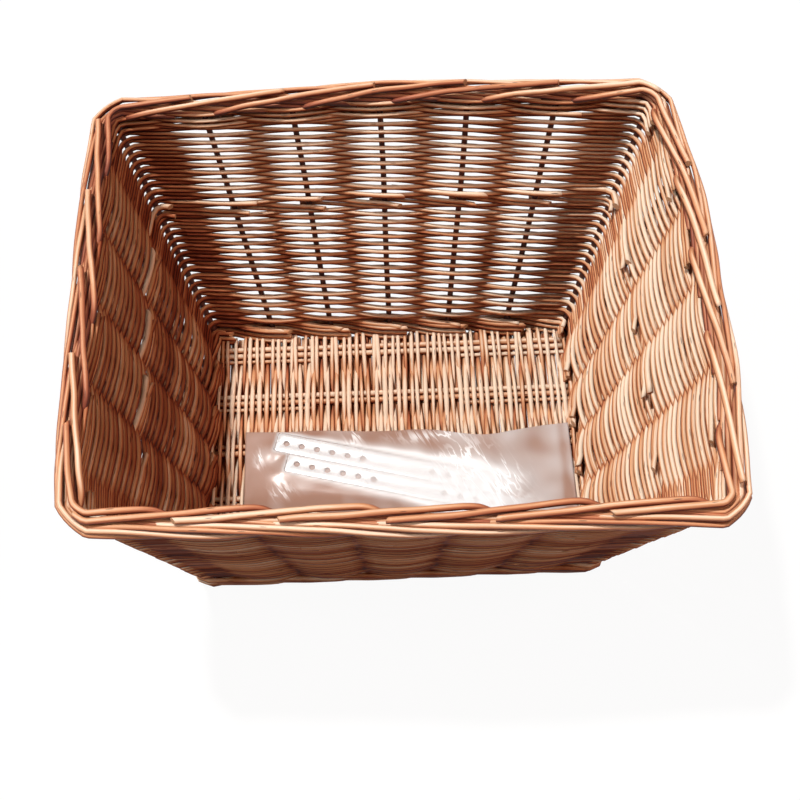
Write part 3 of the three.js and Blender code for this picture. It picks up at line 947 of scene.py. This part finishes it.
class BASKET_OT_weave_base(bpy.types.Operator):
    """Lays the sticks of the base and weaves thin rods over and under them"""

    bl_idname = "basket.weave_base"
    bl_label = "Weave base"

    def execute(self, context):
        wall = Wall()
        finishes = willow_set("willow_base")
        rng = random.Random(BASE_SEED)
        depths = []
        for row in range(1, 6):
            middles = []
            for end in "ab":
                node = f"base_stick_{row}{end}"
                low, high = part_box(node)
                depth = (low.y + high.y) / 2
                middles.append(depth)
                radius = rods().base_stick / 2 * rng.uniform(0.9, 1.0)
                bundle = RodBundle()
                self.stick(bundle, wall, low.x - STICK_TUCK, high.x + STICK_TUCK, depth, radius, rng)
                hand_over(bundle.build(f"{node}_rod", finishes), "basket", "base_willow", node)
            depths.append(sum(middles) / 2)
        low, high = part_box("base_weave")
        low.xy, high.xy = low.xy - BASE_TUCK, high.xy + BASE_TUCK
        weave = RodBundle()
        pitch = (high.x - low.x) / BASE_RODS
        for i in range(BASE_RODS):
            self.thin_rod(weave, wall, low, high, low.x + (i + 0.5) * pitch, i, depths, rng)
        outer, inner = END_RODS
        for x in (low.x + outer, low.x + inner, high.x - inner, high.x - outer):
            self.straight_rod(weave, wall, x, END_ROD_HEIGHT, END_ROD_RADIUS, low.y, high.y, rng)
        under = low.z + UNDER_ROD_HEIGHT
        for i in range(1, BASE_RODS):
            self.straight_rod(weave, wall, low.x + i * pitch, under, UNDER_ROD_RADIUS, low.y, high.y, rng)
        liners = RodBundle()
        for depth in depths[3:]:
            for left, right in ((low.x + outer, LINER_ENDS[0]), (LINER_ENDS[1], high.x - outer)):
                self.stick(liners, wall, left, right, depth - LINER_OFFSET, LINER_RADIUS, rng)
        hand_over(weave.build("base_weave_rods", finishes), "basket", "base_willow", "base_weave")
        hand_over(liners.build("base_liner_sticks", finishes), "basket", "base_willow")
        return {"FINISHED"}

    def stick(self, bundle, wall, left, right, depth, radius, rng):
        phase = rng.uniform(0, 40)
        course = []
        for share in shares(40):
            x = lerp(left, right, share)
            sway = noise.noise_vector(Vector((x * 14, phase, 0))) * 0.35 * MM
            point = wall.settle(Vector((x, depth + sway.y, BASE_MIDDLE + sway.z * 0.5)))
            swollen = radius * (1 + 0.05 * noise.noise(Vector((x * 25, phase, 9))))
            # The sticks, lying under the thin rods, are painted in half the shade of a crossing
            course.append((point, swollen, CROSSING / 2))
        bundle.add(course, rng.random(), sides=12)

    def straight_rod(self, bundle, wall, x, z, radius, front, back, rng):
        points = [wall.settle(Vector((x, lerp(front, back, share), z))) for share in shares(16)]
        # These rods are painted in the shade of a crossing along their whole length
        bundle.add([(point, radius, CROSSING) for point in points], rng.random(), sides=6)

    def thin_rod(self, bundle, wall, low, high, x, index, depths, rng):
        radius = rods().base_weaver / 2 * rng.uniform(0.82, 1.2)
        lift = rods().base_stick / 2 + BASE_LIFT + radius
        side = 1 if index % 2 == 0 else -1
        pitch = depths[1] - depths[0]
        corner = shape().foot_corner
        inset = max(abs(x) - (high.x - corner), 0) / corner
        back = high.y - inset * 3 * MM - rng.uniform(0, 2) * MM
        front = low.y + inset * 3 * MM + rng.uniform(0, 2) * MM
        lean = rng.uniform(-2.2, 2.2) * MM
        phase = rng.uniform(0, 40)
        paler = rng.choice((-0.26, -0.1, 0.06, 0.14))
        course = []
        for share in shares(64):
            y = lerp(front, back, share)
            wave = math.cos(math.pi * (y - depths[0]) / pitch)
            wave = math.copysign(abs(wave) ** BASE_PEAK, wave)
            drift = noise.noise(Vector((y * 10, phase, 0))) * 2.3 * MM
            z = clamp(BASE_MIDDLE + side * lift * wave, low.z + radius, high.z - radius * 0.9)
            point = wall.settle(Vector((x + drift + lean * y / high.y, y, z)))
            thinned = radius * lerp(1.12, 0.86, share if side > 0 else 1 - share)
            # Painted light where the rod rides over a stick and painted shade where it dips under one, plus
            # the rod's own random tone
            course.append((point, thinned, 0.32 * side * wave + paler))
        bundle.add(course, rng.random())


def deselect():
    bpy.ops.object.select_all(action="DESELECT")


def select(*pieces):
    """Selects these pieces alone and makes the first one active."""
    deselect()
    for piece in pieces:
        piece.select_set(True)
    bpy.context.view_layer.objects.active = pieces[0]


def cylinder(sides, radius, length, x=0.0):
    """A new cylinder along Z, alone in the selection."""
    deselect()
    bpy.ops.mesh.primitive_cylinder_add(vertices=sides, radius=radius, depth=length, location=(x, 0, 0))
    return bpy.context.object


def modify(piece, kind, **settings):
    """Gives a piece a modifier and applies it."""
    modifier = piece.modifiers.new(kind, kind)
    for name, value in settings.items():
        setattr(modifier, name, value)
    bpy.context.view_layer.objects.active = piece
    bpy.ops.object.modifier_apply(modifier=modifier.name)


def cut(piece, cutter):
    modify(piece, "BOOLEAN", operation="DIFFERENCE", object=cutter)
    bpy.data.objects.remove(cutter)


def zinc(name, roughness):
    """Bright zinc plating with a faint mottle."""
    finish = Finish(name, Metallic=0.45)
    where = finish.place()
    cells = finish.node("ShaderNodeTexVoronoi", {}, {"Vector": where, "Scale": 420.0})["Distance"]
    cloud = finish.clouds(where, 90.0, 3.0)
    tint = Vector(colours().zinc)
    finish.give("Base Color", finish.ramp([(0.25, tint * 0.82), (0.75, tint)], cells * 0.5 + cloud * 0.6))
    finish.give("Roughness", cloud * 0.2 + roughness)
    finish.bump(cloud, 0.12, 0.1 * MM)
    return finish.material


STRIP_TILT = math.radians(-14.3)
STRIP_CORNER = 2.2 * MM
STRIP_EDGE = 0.25 * MM
HOLES_PER_END = 6
THREAD_PITCH = 0.8 * MM
THREAD_DEPTH = 0.86
BOLT_SHANK = 5 * MM
HEAD_THICKNESS = 3.5 * MM
# How far the shank reaches into the head
SHANK_TUCK = 0.5 * MM
HEXAGON_CHAMFER = 0.35 * MM
SMOOTH_ANGLE = math.radians(35)


class BASKET_OT_lay_fittings(bpy.types.Operator):
    """Makes the punched strips and their bolts and nuts"""

    bl_idname = "basket.lay_fittings"
    bl_label = "Lay fittings"

    def execute(self, context):
        plating = zinc("zinc_strip", 0.26)
        bright = zinc("zinc_fastener", 0.2)
        for i in (1, 2):
            node = f"fixing_strip_{i}"
            hand_over(self.strip(node, plating), "fitting_kit", "galvanised_strip", node)
        for i in range(1, 5):
            for make, node in ((self.bolt, f"fixing_bolt_{i}"), (self.nut, f"fixing_nut_{i}")):
                hand_over(make(node, bright), "fitting_kit", "zinc_fastener", node)
        return {"FINISHED"}

    def strip(self, node, plating):
        """A flat bar with rounded corners, and a row of punched holes at each end."""
        kit = fittings()
        low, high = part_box(node)
        deselect()
        bpy.ops.mesh.primitive_cube_add(size=1, location=(0, 0, 0))
        piece = bpy.context.object
        piece.name = f"{node}_bar"
        piece.data.transform(Matrix.Diagonal((kit.strip_length, kit.strip_width, kit.strip_thickness, 1)))
        bpy.ops.object.mode_set(mode="EDIT")
        bpy.ops.mesh.select_mode(type="EDGE")
        bpy.ops.mesh.select_all(action="DESELECT")
        bpy.ops.object.mode_set(mode="OBJECT")
        for edge in piece.data.edges:
            ends = [piece.data.vertices[v].co for v in edge.vertices]
            edge.select = abs(ends[0].z - ends[1].z) > kit.strip_thickness / 2
        bpy.ops.object.mode_set(mode="EDIT")
        bpy.ops.mesh.bevel(offset=STRIP_CORNER, segments=6)
        bpy.ops.object.mode_set(mode="OBJECT")
        cut(piece, self.punches(kit))
        modify(piece, "BEVEL", width=STRIP_EDGE, segments=2, limit_method="ANGLE")
        piece.data.transform(Matrix.Translation((low + high) / 2) @ Matrix.Rotation(STRIP_TILT, 4, "Z"))
        return self.finished(piece, plating)

    def punches(self, kit):
        """A cylinder at every hole of a strip, joined to one cutter."""
        tools = []
        for end in (-1, 1):
            for i in range(HOLES_PER_END):
                x = end * (kit.strip_length / 2 - kit.end_margin - i * kit.hole_pitch)
                tools.append(cylinder(28, kit.hole / 2, 4 * kit.strip_thickness, x))
        select(*tools)
        bpy.ops.object.join()
        return bpy.context.object

    def finished(self, piece, plating):
        """Applies a fitting's place, smooths its round faces and plates it."""
        select(piece)
        bpy.ops.object.transform_apply(location=True, rotation=True, scale=True)
        bpy.ops.object.shade_smooth_by_angle(angle=SMOOTH_ANGLE)
        piece.data.materials.clear()
        piece.data.materials.append(plating)
        deselect()
        return piece

    def hexagon(self, name, across_flats, thickness):
        """A hexagon blank along Z with chamfered corners."""
        blank = cylinder(6, across_flats / math.sqrt(3), thickness)
        blank.name = name
        modify(blank, "BEVEL", width=HEXAGON_CHAMFER, segments=2)
        return blank

    def bolt(self, node, plating):
        """A hexagon head and a shank with its thread, lying along X."""
        low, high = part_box(node)
        piece = self.hexagon(f"{node}_screw", high.z - low.z, HEAD_THICKNESS)
        turned = Matrix.Rotation(math.pi / 2, 4, "Y")
        piece.data.transform(Matrix.Translation((low.x + HEAD_THICKNESS / 2, 0, 0)) @ turned)
        middle = Vector((0, (low.y + high.y) / 2, (low.z + high.z) / 2))
        piece.data.transform(Matrix.Translation(middle))
        select(piece, self.thread(low.x + HEAD_THICKNESS - SHANK_TUCK, high.x, middle))
        bpy.ops.object.join()
        return self.finished(piece, plating)

    def thread(self, left, right, middle):
        """A closed shank whose ridge climbs round it."""
        sides, turns = 20, (right - left) / THREAD_PITCH
        rings = int(turns * 6)
        points = []
        for share in shares(rings):
            x = lerp(left, right, share)
            end = clamp((right - x) / THREAD_PITCH)
            for j in range(sides):
                phase = ((x - left) / THREAD_PITCH - j / sides) % 1
                ridge = 1 - abs(2 * phase - 1)
                radius = BOLT_SHANK / 2 * lerp(THREAD_DEPTH, 1.0, ridge * end)
                angle = 2 * math.pi * j / sides
                points.append((x, middle.y + radius * math.cos(angle), middle.z + radius * math.sin(angle)))
        return new_piece("shank", points, tube_faces(rings + 1, sides))

    def nut(self, node, plating):
        """A hexagon nut lying flat, bored through."""
        low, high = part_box(node)
        piece = self.hexagon(f"{node}_hex", high.y - low.y, high.z - low.z)
        cut(piece, cylinder(24, BOLT_SHANK / 2, 4 * BOLT_SHANK))
        piece.data.transform(Matrix.Translation((low + high) / 2) @ Matrix.Rotation(math.pi / 6, 4, "Z"))
        return self.finished(piece, plating)


def clear_film(name):
    """Milky glossy film: clearer where it lies on the strips, painted white round them as glare from them,
    painted with highlights where it is creased, and given a faint painted glow where it is whitest.
    """
    finish = Finish(name, Roughness=0.25, IOR=1.5, Emission_Strength=0.16)
    where = finish.place()
    contact, haze, crumple = (finish.attribute(kind) for kind in ("contact", "haze", "crumple"))
    split = finish.split(where)
    along = split["X"] * 0.5 - split["Y"] * 0.87
    across = split["X"] * 0.87 + split["Y"] * 0.5
    folds = finish.clouds(finish.vector(along * 26.0, across * 120.0, 0.0), 1.0, 3.0, 0.6)
    broad = finish.clouds(where, 22.0, 2.0)
    ridge = 1.0 - (folds * 2.0 - 1.0).math("ABSOLUTE")
    crease = ridge.above(0.9, 0.09) * crumple
    # Painted glare round the strips, painted highlights on the creases and crumpled places, and a random
    # mottle
    white = haze * 1.15 + crease * 0.7 + crumple * broad * 0.25 + (broad - 0.5) * 0.5
    finish.give("Base Color", finish.ramp([(0.0, colours().film), (1.0, colours().clear)], white))
    # A faint painted glow where the film is painted whitest
    finish.give("Emission Color", finish.ramp([(0.55, (0, 0, 0)), (1.0, (1, 1, 1))], white))
    finish.give("Alpha", (1.0 - contact) * (broad * 0.25 + 0.74) + crease * 0.25)
    finish.bump(ridge * crumple * 0.5 + broad * 0.7, 0.5, 0.6 * MM)
    return finish.material


# The film's steps along the bag, and across one layer
FILM_STEPS = (180, 56)
# How far its front and back edges lie inside the solid bag, and its lower layer above the underside
FILM_INSET = Vector((1.2, 2.4)) * MM
FILM_FLOOR = 0.5 * MM
FILM_WAVE = 0.25 * MM
# How far from its ends the bag has its full height: at the left, there over the bolts, and at the right
LEFT_SEAL = 11
BOLT_SEAL = 3.5
RIGHT_SEAL = 9 * MM
# How high the strips, the bolts and the nuts hold the film up, and how far round them it still rises
STRIP_RISE = 2.7 * MM
STRIP_FADE = 11 * MM
BOLT_RISE = 8.6
NUT_RISE = 5.0
BOLT_FADE = 13 * MM
BOLT_ROW = 5 * MM
# How far the bag's back edge is drawn in along its length, in millimetres
BACK_EDGE = ((-131, -1.5), (-57, 0.0), (4, 1.6), (38, 2.4), (79, 8.0), (108, 3.6), (153, -1.5))
# A darker band across the bag near its right end
SHADED_BAND = 146 * MM
# Where the film gathers: the middle, width and depth of each place, in millimetres
GATHERS = (
    (62, -26, 20, 24), (86, -40, 18, 18), (-34, 6, 9, 8), (-98, -46, 9, 7), (-118, -14, 4, 8), (30, 4, 26, 6),
)


class BASKET_OT_seal_bag(bpy.types.Operator):
    """Drapes the clear bag over the fittings"""

    bl_idname = "basket.seal_bag"
    bl_label = "Seal bag"

    def execute(self, context):
        low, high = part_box("fitting_bag")
        self.strips = [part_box(f"fixing_strip_{i}") for i in (1, 2)]
        self.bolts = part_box("fixing_bolt_1")[0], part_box("fixing_nut_4")[1]
        steps_along, steps_over = FILM_STEPS
        rings = 2 * steps_over
        points = [
            self.film_point(along, j / rings, low, high)
            for along in shares(steps_along)
            for j in range(rings)
        ]
        upper = [j >= steps_over for j in range(rings)] * (steps_along + 1)
        faces = ring_faces(steps_along + 1, rings)
        bag = new_piece(
            "clear_bag",
            points,
            faces,
            contact=[above * self.touching(x, y) for (x, y, z), above in zip(points, upper)],
            haze=[above * self.strip_glare_at(x, y) for (x, y, z), above in zip(points, upper)],
            crumple=[self.crumpled(x, y) for x, y, z in points],
        )
        bag.data.polygons.foreach_set("use_smooth", [True] * len(faces))
        bag.data.materials.append(clear_film("clear_film"))
        select(bag)
        modify(bag, "SOLIDIFY", thickness=fittings().film, offset=0)
        deselect()
        hand_over(bag, "fitting_kit", "clear_film", "fitting_bag")
        return {"FINISHED"}

    def film_point(self, along, around, low, high):
        """A point of the film: the lower layer from front to back, then the upper one forwards."""
        x = lerp(low.x, high.x, along)
        upper = around >= 0.5
        share = (around - 0.5) * 2 if upper else around * 2
        across = 0.5 - 0.5 * math.cos(math.pi * share)
        if upper:
            across = 1 - across
        edge = noise.noise(Vector((x * 24, 5.0 if across > 0.5 else 9.0, 0))) * 1.6 * MM
        drawn_in = flow(BACK_EDGE, x / MM)[0] * MM * across ** 3
        y = lerp(low.y + FILM_INSET.x, high.y - FILM_INSET.y, across) + edge * (across - 0.5) * 2 - drawn_in
        floor = low.z + FILM_FLOOR
        if not upper:
            return (x, y, floor + FILM_WAVE * noise.noise(Vector((x * 60, y * 60, 2))))
        over_bolts = self.over_bolts(x, y)
        left_seal = lerp(LEFT_SEAL, BOLT_SEAL, clamp(over_bolts / (8 * MM))) * MM
        seal = clamp((x - low.x) / left_seal) * clamp((high.x - x) / RIGHT_SEAL)
        tuck = clamp(across * 75) if across < 0.5 else math.sin(math.pi * clamp(across)) ** 0.35
        ripple = noise.noise(Vector((x * 34, y * 22, 1))) * 0.6 * MM
        ripple += noise.noise(Vector((x * 150 + y * 90, y * 60, 4))) * 1.1 * MM * self.crumpled(x, y)
        lift = max(STRIP_RISE * fading(self.beside_strips(x, y)[0], STRIP_FADE), over_bolts)
        rise = (lift + abs(ripple) + 0.35 * MM) * tuck * lerp(0.12, 1.0, seal)
        return (x, y, min(floor + FILM_WAVE + rise, high.z))

    def beside_strips(self, x, y):
        """How far a point is from the nearer strip, and how far along it."""
        kit = fittings()
        found = []
        for low, high in self.strips:
            local = Vector((x - (low.x + high.x) / 2, y - (low.y + high.y) / 2))
            local.rotate(Matrix.Rotation(-STRIP_TILT, 2))
            aside = max(abs(local.y) - kit.strip_width / 2, 0)
            beside = math.hypot(aside, max(abs(local.x) - kit.strip_length / 2, 0))
            found.append((beside, local.x / kit.strip_length + 0.5))
        return min(found)

    def beside_bolts(self, x, y):
        low, high = self.bolts
        return max(abs(y - (low.y + high.y) / 2) - BOLT_ROW, low.x - x, x - high.x, 0)

    def over_bolts(self, x, y):
        """How high the bolts, and right of them the nuts, hold the film up."""
        top = lerp(BOLT_RISE, NUT_RISE, clamp((x + 4 * MM) / (8 * MM))) * MM
        return top * fading(self.beside_bolts(x, y), BOLT_FADE)

    def touching(self, x, y):
        """How clear the film is on the strips: nearly all at their left ends, less to the right."""
        beside, along = self.beside_strips(x, y)
        reach = lerp(1.6, 3.0, clamp(along)) * MM
        seen = lerp(0.9, 0.42, clamp(along * 1.3)) * (1 - clamp((along - 0.8) / 0.18))
        return max(fading(beside, reach) * seen, 0.6 * fading(self.beside_bolts(x, y), 2 * MM))

    def strip_glare_at(self, x, y):
        """How white the film is painted on and beside the strips, as glare from them, with a loose mottle
        that grows to the right.
        """
        beside, along = self.beside_strips(x, y)
        loose = 0.3 * noise.noise(Vector((x * 45, y * 45, 6)))
        loose += 0.28 * clamp((x + 70 * MM) / (200 * MM))
        spread = lerp(2, 12, clamp(along * 1.2)) * MM
        near = fading(beside, spread) * (1 - 0.8 * clamp((along - 0.8) / 0.2))
        band = 0.3 * fading(x - SHADED_BAND, 4 * MM)
        return clamp(near + loose * max(clamp(beside / (3 * MM)), 1 - near) - band)

    def crumpled(self, x, y):
        """How creased the film is: in a few gathers, and hardly elsewhere."""
        near = []
        for middle_x, middle_y, width, depth in GATHERS:
            aside, before = (x - middle_x * MM) / (width * MM), (y - middle_y * MM) / (depth * MM)
            near.append(math.exp(-(aside ** 2) - (before ** 2)))
        return clamp(max(near))


# The photograph's camera: its place in metres, its turn, tilt and roll in radians, and its lens
CAMERA_PLACE = Vector((-0.013944, -0.573475, 1.093602))
CAMERA_TURN = -0.05254
CAMERA_TILT = 0.97637
CAMERA_ROLL = -0.07852
CAMERA_FOCUS = 1386.41
IMAGE_SIZE = 800
OPTICAL_CENTRE = (332.54, 295.96)
SENSOR = 36.0
FLOOR_SIZE = 8
FLOOR_DROP = 0.4 * MM
# How bright the floor is to the camera, how much of that shows, and how much light the backdrop gives
FLOOR_GLOW = 1.12
FLOOR_SHARE = 0.84
BACKDROP_LIGHT = 0.045
# Each lamp's strength, spread in degrees, direction and tint
LAMPS = {
    "key": (2.75, 3, (0.29, -0.17, -0.94), (1.0, 0.97, 0.94)),
    "side": (0.9, 30, (0.80, 0.06, -0.60), (1.0, 0.97, 0.94)),
    "fill": (0.95, 32, (-0.62, 0.22, -0.75), (1.0, 0.62, 0.46)),
}


class BASKET_OT_set_stage(bpy.types.Operator):
    """Sets the camera, the pale floor and the soft light"""

    bl_idname = "basket.set_stage"
    bl_label = "Set stage"

    def execute(self, context):
        self.camera(context.scene)
        self.floor()
        self.lights(context.scene)
        self.backdrop(context.scene)
        context.scene.view_settings.view_transform = "Standard"
        return {"FINISHED"}

    def camera(self, scene):
        data = bpy.data.cameras.new("camera")
        data.sensor_width = SENSOR
        data.lens = SENSOR * CAMERA_FOCUS / IMAGE_SIZE
        data.shift_x = (IMAGE_SIZE / 2 - OPTICAL_CENTRE[0]) / IMAGE_SIZE
        data.shift_y = (OPTICAL_CENTRE[1] - IMAGE_SIZE / 2) / IMAGE_SIZE
        ahead, down = math.cos(CAMERA_TILT), math.sin(CAMERA_TILT)
        forward = Vector((math.sin(CAMERA_TURN) * ahead, math.cos(CAMERA_TURN) * ahead, -down))
        level = forward.cross(UP).normalized()
        upright = level.cross(forward)
        right = level * math.cos(CAMERA_ROLL) + upright * math.sin(CAMERA_ROLL)
        up = upright * math.cos(CAMERA_ROLL) - level * math.sin(CAMERA_ROLL)
        turned = Matrix((right, up, -forward)).transposed().to_4x4()
        camera = bpy.data.objects.new("camera", data)
        camera.matrix_world = Matrix.Translation(CAMERA_PLACE) @ turned
        scene.collection.objects.link(camera)
        scene.camera = camera

    def floor(self):
        """A plane that glows to the camera and is a plain floor to the light, so it keeps the shadow."""
        deselect()
        bpy.ops.mesh.primitive_plane_add(size=FLOOR_SIZE, location=(0, 0, -FLOOR_DROP))
        floor = bpy.context.object
        floor.name = "floor"
        finish = Finish("pale_floor", Roughness=0.9, Base_Color=(*colours().floor, 1))
        glowing = {"Color": (1, 1, 1, 1), "Strength": FLOOR_GLOW}
        glow = finish.node("ShaderNodeEmission", {}, glowing)["Emission"]
        lit = Wire(finish, finish.shader.outputs[0])
        inputs = {"Fac": finish.looked_at() * FLOOR_SHARE, 1: lit, 2: glow}
        mixed = finish.node("ShaderNodeMixShader", {}, inputs)["Shader"]
        finish.feed(finish.tree.nodes["Material Output"].inputs["Surface"], mixed)
        floor.data.materials.append(finish.material)

    def lights(self, scene):
        """A high lamp from the left, a broad weaker one lower there, and a broad warm one from the right."""
        for name, (energy, spread, towards, tint) in LAMPS.items():
            sun = bpy.data.lights.new(name, "SUN")
            sun.energy = energy
            sun.angle = math.radians(spread)
            sun.color = tint
            lamp = bpy.data.objects.new(name, sun)
            lamp.rotation_euler = Vector(towards).to_track_quat("-Z", "Y").to_euler()
            scene.collection.objects.link(lamp)

    def backdrop(self, scene):
        """A world that is white to the camera and gives little light."""
        world = bpy.data.worlds.new("backdrop")
        scene.world = world
        nodes = Nodes(world)
        inputs = {"Value": nodes.looked_at(), "To Min": BACKDROP_LIGHT, "To Max": 1.0}
        background = nodes.tree.nodes["Background"].inputs
        nodes.feed(background["Strength"], nodes.node("ShaderNodeMapRange", {}, inputs)["Result"])
        nodes.feed(background["Color"], (1, 1, 1, 1))


GROUPS = {
    "basket_shape": BasketShape,
    "basket_rods": WillowRods,
    "basket_fittings": FittingSizes,
    "basket_colours": BasketColours,
}
OPERATORS = (
    BASKET_OT_set_stage,
    BASKET_OT_raise_uprights,
    BASKET_OT_lay_border,
    BASKET_OT_weave_siding,
    BASKET_OT_weave_wales,
    BASKET_OT_weave_base,
    BASKET_OT_lay_fittings,
    BASKET_OT_seal_bag,
)


class BASKET_PT_panel(bpy.types.Panel):
    bl_idname = "BASKET_PT_panel"
    bl_label = "Willow basket"
    bl_space_type = "VIEW_3D"
    bl_region_type = "UI"
    bl_category = "Basket"

    def draw(self, context):
        for group in GROUPS:
            settings = getattr(context.scene, group)
            box = self.layout.box()
            for name in settings.bl_rna.properties.keys():
                if name not in ("rna_type", "name"):
                    box.prop(settings, name)
        for operator in OPERATORS:
            self.layout.operator(operator.bl_idname)


def register():
    for name, group in GROUPS.items():
        bpy.utils.register_class(group)
        setattr(bpy.types.Scene, name, bpy.props.PointerProperty(type=group))
    for operator in OPERATORS:
        bpy.utils.register_class(operator)
    bpy.utils.register_class(BASKET_PT_panel)


def unregister():
    bpy.utils.unregister_class(BASKET_PT_panel)
    for operator in reversed(OPERATORS):
        bpy.utils.unregister_class(operator)
    for name, group in GROUPS.items():
        delattr(bpy.types.Scene, name)
        bpy.utils.unregister_class(group)


def main():
    register()
    bpy.ops.basket.set_stage()
    bpy.ops.basket.raise_uprights()
    bpy.ops.basket.lay_border()
    bpy.ops.basket.weave_siding()
    bpy.ops.basket.weave_wales()
    bpy.ops.basket.weave_base()
    bpy.ops.basket.lay_fittings()
    bpy.ops.basket.seal_bag()


if __name__ == "__main__":
    main()
